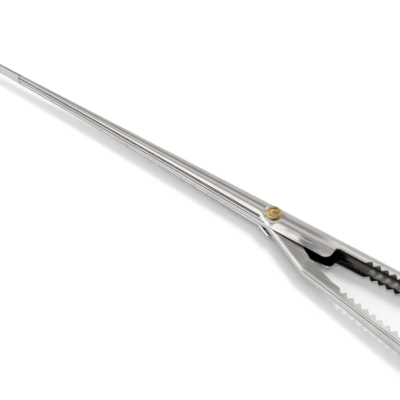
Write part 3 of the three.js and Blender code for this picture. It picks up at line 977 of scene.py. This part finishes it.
@dataclass
class ReturnSpring:
    """The torsion wire round the sleeve: its coil with one leg, and the moving leg."""

    wire: float = 0.6 * MM
    coil_radius: float = 2.6 * MM
    open_degrees: float = 25.0
    knee_round: float = 1.0 * MM
    fixed: Leg = Leg(35.0, 9.5 * MM, 4.0 * MM, 0.0)
    moving: Leg = Leg(-45.0, 10.5 * MM, 4.0 * MM, -25.4)

    def leg_path(self, leg: Leg, start: float, z: float) -> Array:
        """A leg's path: along its heading, then along its foot, the knee rounded.

        The way past the knee is the softened distance past it: the mean of the distance
        and the root of its square plus the knee's rounding squared.

        Args:
            leg: The leg's sizes.
            start: Angle on the coil where the leg leaves it, in degrees.
            z: Its height.

        Returns:
            Rows of (x, y, z).
        """
        angles = np.radians([start, leg.heading, leg.foot_heading])
        out, way, foot = np.stack([np.cos(angles), np.sin(angles)], axis=1)
        s = np.linspace(0, leg.reach + leg.foot, 60)[:, None]
        past = ((s - leg.reach) + np.sqrt((s - leg.reach) ** 2 + self.knee_round ** 2)) / 2
        flat = self.coil_radius * out + way * (s - past) + foot * past
        return np.column_stack([flat, np.full(len(flat), z)])

    def build(self) -> tuple[bpy.types.Object, bpy.types.Object]:
        """Sweeps the coil with its fixed leg, and the moving leg.

        The coil is a helix that rises evenly from the moving to the fixed leg.

        Returns:
            The coil with its fixed leg, and the moving leg.
        """
        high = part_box("return_spring")[1]
        leg_low, leg_high = (np.array(corner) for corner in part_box("return_spring_leg"))
        top = float(high[2]) - self.wire / 2
        bottom = float(leg_low[2] + leg_high[2]) / 2
        first = self.moving.heading + 90
        last = self.fixed.heading - 90
        last += 360 * math.ceil((first + 360 - last) / 360)
        degrees = np.linspace(first + self.open_degrees, last, 150)
        angle = np.radians(degrees)
        rise = bottom + (top - bottom) * (degrees - first) / (last - first)
        coil = np.column_stack([
            self.coil_radius * np.cos(angle), self.coil_radius * np.sin(angle), rise,
        ])
        fixed = self.leg_path(self.fixed, last, top)
        body = sweep("return_spring_wire", np.vstack([coil[:-1], fixed]), self.wire / 2)
        leg = sweep("return_spring_moving_leg", self.leg_path(self.moving, first, bottom), self.wire / 2)
        return body, leg


# ---- finishes -----------------------------------------------------------------
class NodeSheet:
    """A small helper that adds and joins shader nodes in one tree."""

    def __init__(self, tree: bpy.types.NodeTree) -> None:
        """Keeps the tree that nodes go into."""
        self.tree = tree

    def add(self, kind: str, inputs: dict | None = None, **settings: object) -> bpy.types.Node:
        """Adds a node, sets its properties and fills its inputs.

        Args:
            kind: The node's type name.
            inputs: Socket name or number to a value or to another node's output.
            settings: Properties of the node.

        Returns:
            The new node.
        """
        node = self.tree.nodes.new(kind)
        for key, value in settings.items():
            setattr(node, key, value)
        for key, value in (inputs or {}).items():
            if isinstance(value, Socket):
                self.tree.links.new(value, node.inputs[key])
            else:
                node.inputs[key].default_value = value
        return node

    def math(self, kind: str, *values: Socket | float) -> Socket:
        """One arithmetic step on sockets or numbers."""
        return self.add("ShaderNodeMath", dict(enumerate(values)), operation=kind).outputs[0]

    def remap(self, value: Socket, low: Range, to: Range = (0.0, 1.0), kind: str = "LINEAR") -> Socket:
        """Brings a value from the range low to the range to, and holds it at both ends."""
        return self.add("ShaderNodeMapRange", {
            "Value": value, "From Min": low[0], "From Max": low[1], "To Min": to[0], "To Max": to[1],
        }, interpolation_type=kind).outputs[0]

    def step(self, value: Socket, rise: Range) -> Socket:
        """A smooth mask that is 0 before the rise and 1 after it."""
        return self.remap(value, rise, kind="SMOOTHSTEP")

    def until(self, value: Socket, fall: Range) -> Socket:
        """A smooth mask that is 1 before the fall and 0 after it."""
        return self.math("SUBTRACT", 1.0, self.step(value, fall))

    def mix(self, mask: Socket, under: Socket | tuple, over: Colour | Socket) -> Socket:
        """Lays one colour over another where the mask is 1."""
        over = over if isinstance(over, Socket) else (*over, 1.0)
        return self.add("ShaderNodeMix", {0: mask, 6: under, 7: over}, data_type="RGBA").outputs[2]


def new_group(name: str, inputs: dict[str, tuple[str, object]], outputs: list[str]) -> tuple:
    """Makes an empty shader node group with named sockets.

    Args:
        name: The group's name.
        inputs: Socket name to (socket type, default).
        outputs: Names of the output values.

    Returns:
        The group, its node sheet and what comes in.
    """
    group = bpy.data.node_groups.new(name, "ShaderNodeTree")
    for key, (kind, default) in inputs.items():
        socket = group.interface.new_socket(key, in_out="INPUT", socket_type=kind)
        if default is not None:
            socket.default_value = default
    for key in outputs:
        group.interface.new_socket(key, in_out="OUTPUT", socket_type="NodeSocketFloat")
    sheet = NodeSheet(group)
    return group, sheet, sheet.add("NodeGroupInput").outputs


def brushed_group() -> bpy.types.NodeTree:
    """Fine lines along the grain: noise stretched along the map, in two sizes.

    Returns:
        The group, with the lines of both sizes as values.
    """
    group, sheet, given = new_group("brushed_lines", {
        "Map": ("NodeSocketVector", None), "Lines": ("NodeSocketFloat", 9000.0),
        "Stretch": ("NodeSocketFloat", 0.012),
    }, ["Fine", "Broad"])
    along, across, _ = sheet.add("ShaderNodeSeparateXYZ", {0: given["Map"]}).outputs
    short = sheet.math("MULTIPLY", along, given["Stretch"])
    grain = sheet.add("ShaderNodeCombineXYZ", {0: short, 1: across}).outputs[0]
    fine = sheet.add("ShaderNodeTexNoise", {
        "Vector": grain, "Scale": given["Lines"], "Detail": 3.0, "Roughness": 0.6,
    })
    wide = sheet.math("MULTIPLY", given["Lines"], 0.16)
    broad = sheet.add("ShaderNodeTexNoise", {
        "Vector": grain, "Scale": wide, "Detail": 2.0, "Roughness": 0.5,
    })
    sheet.add("NodeGroupOutput", {"Fine": fine.outputs["Fac"], "Broad": broad.outputs["Fac"]})
    return group


def handling_group() -> bpy.types.NodeTree:
    """Faint marks of use: soft smudges, and sparse hair scratches in two directions.

    Returns:
        The group, with both marks as masks.
    """
    group, sheet, given = new_group("handling_marks", {
        "Place": ("NodeSocketVector", None), "Size": ("NodeSocketFloat", 90.0),
    }, ["Smudge", "Scratch"])
    cloud = sheet.add("ShaderNodeTexNoise", {
        "Vector": given["Place"], "Scale": given["Size"], "Detail": 4.0, "Roughness": 0.55,
        "Distortion": 0.4,
    })
    hairs = []
    for turn, rarity in ((0.5, 0.6974), (-0.35, 0.6981)):
        turned = sheet.add("ShaderNodeMapping", {
            "Vector": given["Place"], "Rotation": (0.0, 0.0, turn), "Scale": (60.0, 1600.0, 1600.0),
        })
        noise = sheet.add("ShaderNodeTexNoise", {
            "Vector": turned.outputs[0], "Scale": 1.0, "Detail": 0.0,
        })
        hairs.append(sheet.remap(noise.outputs["Fac"], (rarity, 0.74)))
    sheet.add("NodeGroupOutput", {
        "Smudge": sheet.step(cloud.outputs["Fac"], (0.42, 0.68)),
        "Scratch": sheet.math("MAXIMUM", *hairs),
    })
    return group


@dataclass(frozen=True)
class MetalFinish:
    """A brushed or polished metal with grain, marks of use, a painted highlight along its cut edges and
    painted shade on the inner walls of folded sheet.
    """

    name: str
    colour: Colour
    stain: Colour
    roughness: float
    roughness_spread: float
    grain_depth: float
    lines: float = 9000.0
    stretch: float = 0.012
    # Painted highlight: how much brighter the colour grows at the cut edges.
    edge_highlight_gain: float = 1.15
    # Painted shade: the near-black colour laid on the inner walls of folded sheet.
    painted_inside_shade: Colour = (0.09, 0.080, 0.072)
    noise_range: Range = (0.3, 0.7)
    streaks: Range = (0.95, 1.03)
    smudge_dulls: float = 0.02
    scratch_dulls: float = 0.10
    unpolished_dulls: float = 0.15
    scratch_depth: float = -0.6

    def build(self, brushed: bpy.types.NodeTree, handling: bpy.types.NodeTree) -> bpy.types.Material:
        """Makes the material.

        Args:
            brushed: The group of brushed lines.
            handling: The group of marks of use.

        Returns:
            The material.
        """
        material = bpy.data.materials.new(self.name)
        material.use_nodes = True
        material.node_tree.nodes.clear()
        sheet = NodeSheet(material.node_tree)
        grain = sheet.add("ShaderNodeUVMap", uv_map="grain").outputs["UV"]
        place = sheet.add("ShaderNodeTexCoord").outputs["Object"]
        rim, dull = (sheet.add("ShaderNodeAttribute", attribute_name=key).outputs["Fac"]
                     for key in ("rim", "dull"))
        lines = sheet.add("ShaderNodeGroup", {
            "Map": grain, "Lines": self.lines, "Stretch": self.stretch,
        }, node_tree=brushed).outputs
        marks = sheet.add("ShaderNodeGroup", {"Place": place}, node_tree=handling).outputs
        colour = sheet.mix(marks["Smudge"], (*self.colour, 1.0), self.stain)
        # Painted shade: the inner walls take the near-black colour.
        colour = sheet.mix(dull, colour, self.painted_inside_shade)
        streaks = sheet.remap(lines["Broad"], self.noise_range, self.streaks)
        # Painted highlight: the colour brightens towards the cut edges.
        painted_edge_highlight = sheet.remap(rim, (0.0, 1.0), (1.0, self.edge_highlight_gain))
        shade = sheet.add("ShaderNodeVectorMath", {
            0: colour, "Scale": sheet.math("MULTIPLY", streaks, painted_edge_highlight),
        }, operation="SCALE")
        spread = (self.roughness - self.roughness_spread, self.roughness + self.roughness_spread)
        rough = sheet.remap(lines["Fine"], self.noise_range, spread)
        rough = sheet.math("MULTIPLY_ADD", marks["Smudge"], self.smudge_dulls, rough)
        rough = sheet.math("MULTIPLY_ADD", marks["Scratch"], self.scratch_dulls, rough)
        rough = sheet.math("MULTIPLY_ADD", dull, self.unpolished_dulls, rough)
        relief = sheet.math("MULTIPLY_ADD", marks["Scratch"], self.scratch_depth, lines["Fine"])
        bump = sheet.add("ShaderNodeBump", {
            "Height": relief, "Strength": 1.0, "Distance": self.grain_depth,
        })
        shader = sheet.add("ShaderNodeBsdfPrincipled", {
            "Base Color": shade.outputs[0], "Metallic": 1.0, "Roughness": rough,
            "Normal": bump.outputs[0],
        })
        sheet.add("ShaderNodeOutputMaterial", {"Surface": shader.outputs[0]})
        return material


OUTER_STEEL = MetalFinish(
    "outer_brushed_steel", (0.62, 0.61, 0.60), (0.56, 0.55, 0.54), 0.05, 0.02, 0.3e-6,
)
INNER_STEEL = MetalFinish(
    "inner_brushed_steel", (0.64, 0.63, 0.62), (0.58, 0.57, 0.56), 0.07, 0.03, 0.3e-6,
)
BRASS = MetalFinish(
    "turned_brass", (0.60, 0.46, 0.19), (0.40, 0.26, 0.10), 0.10, 0.04, 0.3e-6,
    lines=6000.0, stretch=0.05,
)
TURNED_STEEL = MetalFinish(
    "turned_steel", (0.5, 0.5, 0.49), (0.42, 0.41, 0.4), 0.3, 0.06, 0.5e-6,
    lines=6000.0, stretch=0.02,
)
SPRING_STEEL = MetalFinish(
    "drawn_spring_wire", (0.36, 0.36, 0.35), (0.28, 0.27, 0.26), 0.28, 0.06, 0.4e-6,
)


# ---- studio -------------------------------------------------------------------
@dataclass(frozen=True)
class Viewpoint:
    """The camera: where it stands about the rivet's head and how it is aimed."""

    azimuth: float = 37.3
    elevation: float = 45.0
    distance: float = 0.480
    sensor: float = 36.0
    lens: float = 103.7
    head_to_right: float = 30.75 * MM
    head_upwards: float = -5.0 * MM

    def build(self) -> bpy.types.Object:
        """Places the camera so that the rivet's head lies right of and below the middle.

        Returns:
            The camera.
        """
        a, e = math.radians(self.azimuth), math.radians(self.elevation)
        back = np.array([math.sin(a) * math.cos(e), -math.cos(a) * math.cos(e), math.sin(e)])
        right = np.array([math.cos(a), math.sin(a), 0.0])
        up = np.array([-math.sin(a) * math.sin(e), math.cos(a) * math.sin(e), math.cos(e)])
        head = np.array([0.0, 0.0, float(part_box("pivot_rivet")[1][2]) - 0.85 * MM])
        data = bpy.data.cameras.new("camera")
        data.lens = self.lens
        data.sensor_width = self.sensor
        data.clip_start = 0.01
        camera = bpy.data.objects.new("camera", data)
        camera.location = head + back * self.distance - right * self.head_to_right - up * self.head_upwards
        camera.rotation_euler = (math.pi / 2 - e, 0.0, a)
        bpy.context.scene.collection.objects.link(camera)
        bpy.context.scene.camera = camera
        return camera


@dataclass(frozen=True)
class Studio:
    """A white table in a white tent with panels, laid out by direction.

    Across, depth and height are the X, Y and Z of a direction seen from the pliers.
    A range is where a panel's soft edge begins and ends.
    """

    table_size: float = 3.0
    table_colour: Colour = (0.93, 0.93, 0.93)
    fill: float = 0.98
    overhead: Colour = (0.88, 0.87, 0.85)
    far_side: Colour = (0.78, 0.78, 0.76)
    far_side_depth: Range = (0.56, 0.64)
    lee: Colour = (0.54, 0.52, 0.50)
    lee_begins: Range = (0.04, 0.14)
    lee_ends: Range = (0.24, 0.36)
    seam: Colour = (0.42, 0.41, 0.40)
    gleam: Colour = (1.15, 1.15, 1.14)
    seam_begins: Range = (0.48, 0.54)
    seam_ends: Range = (0.60, 0.66)
    gleam_ends: Range = (0.66, 0.74)
    seam_to_gleam: Range = (-0.332, -0.310)
    softbox: Colour = (1.45, 1.43, 1.44)
    box_edge_across: Range = (-0.43, -0.37)
    box_edge_depth: Range = (-0.40, -0.06)
    box_edge_blur: Range = (-0.05, 0.05)
    box_height: Range = (0.38, 0.50)
    fold_light_across: Range = (-0.64, -0.58)
    fold_light_depth: Range = (-0.20, -0.05)
    box_to_rear: Range = (-0.350, -0.345)
    rear_depth: Range = (-0.04, 0.10)
    ear_grey: Colour = (0.27, 0.26, 0.29)
    ear_grey_ends: Range = (-0.330, -0.300)
    rear_grey: Colour = (0.85, 0.84, 0.86)
    front: Colour = (0.10, 0.10, 0.10)
    front_depth: Range = (-0.72, -0.55)
    front_height: Range = (0.42, 0.58)
    front_across: Range = (-0.78, -0.68)
    lamp_place: tuple[float, float, float] = (0.12, 0.42, 0.95)
    lamp_size: float = 0.25
    lamp_power: float = 3.0

    def table(self) -> bpy.types.Object:
        """Lays the pale table under the pliers.

        Returns:
            The table.
        """
        half = self.table_size / 2
        mesh = bpy.data.meshes.new("table")
        mesh.from_pydata([(-half, -half, 0), (half, -half, 0), (half, half, 0), (-half, half, 0)], [],
                         [(0, 1, 2, 3)])
        table = bpy.data.objects.new("table", mesh)
        bpy.context.scene.collection.objects.link(table)
        material = bpy.data.materials.new("table_white")
        material.use_nodes = True
        shader = material.node_tree.nodes["Principled BSDF"]
        shader.inputs["Base Color"].default_value = (*self.table_colour, 1.0)
        shader.inputs["Roughness"].default_value = 0.7
        shader.inputs["Specular IOR Level"].default_value = 0.2
        mesh.materials.append(material)
        return table

    def tent(self) -> None:
        """Lights the world by direction, with soft bright and grey panels."""
        world = bpy.data.worlds.new("tent")
        bpy.context.scene.world = world
        world.use_nodes = True
        world.node_tree.nodes.clear()
        sheet = NodeSheet(world.node_tree)
        way = sheet.add("ShaderNodeTexCoord").outputs["Generated"]
        across, depth, height = sheet.add("ShaderNodeSeparateXYZ", {0: way}).outputs

        def both(*masks: Socket) -> Socket:
            """The product of two masks."""
            return sheet.math("MULTIPLY", *masks)

        box_edge = sheet.remap(across, self.box_edge_across, self.box_edge_depth, "SMOOTHSTEP")
        beyond = sheet.math("SUBTRACT", depth, box_edge)
        seam_begins = sheet.step(depth, self.seam_begins)
        seam = both(seam_begins, sheet.until(depth, self.seam_ends))
        gleam = both(seam_begins, sheet.until(depth, self.gleam_ends))
        rear = both(sheet.until(depth, self.rear_depth), sheet.step(across, self.box_to_rear))
        near = both(sheet.until(beyond, self.box_edge_blur), sheet.step(height, self.box_height))
        fold = both(
            sheet.until(across, self.fold_light_across), sheet.until(depth, self.fold_light_depth),
        )
        low_front = both(
            sheet.until(depth, self.front_depth), sheet.until(height, self.front_height),
        )
        panels = (
            (sheet.step(depth, self.far_side_depth), self.far_side),
            (both(sheet.step(beyond, self.lee_begins), sheet.until(beyond, self.lee_ends)), self.lee),
            (both(seam, sheet.until(across, self.seam_to_gleam)), self.seam),
            (both(gleam, sheet.step(across, self.seam_to_gleam)), self.gleam),
            (rear, self.rear_grey),
            (both(rear, sheet.until(across, self.ear_grey_ends)), self.ear_grey),
            (both(sheet.math("MAXIMUM", near, fold), sheet.until(across, self.box_to_rear)), self.softbox),
            (both(low_front, sheet.step(across, self.front_across)), self.front),
        )
        pattern = (*self.overhead, 1.0)
        for mask, colour in panels:
            pattern = sheet.mix(mask, pattern, colour)
        mirrored = sheet.add("ShaderNodeLightPath").outputs["Is Glossy Ray"]
        seen = sheet.mix(mirrored, (self.fill, self.fill, self.fill, 1.0), pattern)
        light = sheet.add("ShaderNodeBackground", {"Color": seen, "Strength": 1.0})
        sheet.add("ShaderNodeOutputWorld", {"Surface": light.outputs[0]})

    def lamp(self) -> bpy.types.Object:
        """Hangs a square soft light that looks at the pliers and isn't mirrored in them.

        Returns:
            The light.
        """
        data = bpy.data.lights.new("key_light", "AREA")
        data.shape = "SQUARE"
        data.size = self.lamp_size
        data.energy = self.lamp_power
        lamp = bpy.data.objects.new("key_light", data)
        lamp.location = self.lamp_place
        aim = -np.array(self.lamp_place)
        aim /= np.linalg.norm(aim)
        lamp.rotation_euler = (math.acos(-aim[2]), 0.0, math.atan2(-aim[0], aim[1]))
        lamp.visible_glossy = False
        bpy.context.scene.collection.objects.link(lamp)
        return lamp

    def build(self) -> None:
        """Sets up the table, the tent and the lamp, with colours shown as they are."""
        bpy.context.scene.view_settings.view_transform = "Standard"
        self.table()
        self.tent()
        self.lamp()


# ---- the whole ----------------------------------------------------------------
def finish_piece(
    piece: bpy.types.Object, material: bpy.types.Material, body: str, node: str,
) -> None:
    """Dresses a piece, ties it to its body and lets it stand for its CAD node.

    Args:
        piece: The finished object.
        material: Its material.
        body: The CAD body that it rides on.
        node: The CAD node that it replaces.
    """
    piece.data.materials.clear()
    piece.data.materials.append(material)
    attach(piece, body)
    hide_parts(node)
    LOG.info("%s: %d faces, rides on %s, stands for %s", piece.name, len(piece.data.polygons), body, node)


def main() -> None:
    """Builds the studio and every piece, in order."""
    logging.basicConfig(level=logging.INFO, format="%(message)s")
    Viewpoint().build()
    Studio().build()
    brushed, handling = brushed_group(), handling_group()
    outer_steel = OUTER_STEEL.build(brushed, handling)
    inner_steel = INNER_STEEL.build(brushed, handling)
    brass = BRASS.build(brushed, handling)
    turned_steel = TURNED_STEEL.build(brushed, handling)
    spring_steel = SPRING_STEEL.build(brushed, handling)
    nose = NoseShape()
    finish_piece(OuterArm(nose).build(), outer_steel, "outer", "outer_arm")
    finish_piece(InnerArm(nose).build(), inner_steel, "inner", "inner_arm")
    pivot = Pivot(nose)
    finish_piece(pivot.rivet(), brass, "outer", "pivot_rivet")
    sleeve = pivot.ring("spacer_sleeve_turned", "spacer_sleeve", 0.0)
    finish_piece(sleeve, turned_steel, "outer", "spacer_sleeve")
    for side in Side:
        node = f"{side.name.lower()}_bush"
        bush = pivot.ring(f"{node}_turned", node, side.value)
        finish_piece(bush, turned_steel, "outer", node)
    coil, leg = ReturnSpring().build()
    finish_piece(coil, spring_steel, "outer", "return_spring")
    finish_piece(leg, spring_steel, "inner", "return_spring_leg")


if __name__ == "__main__":
    main()
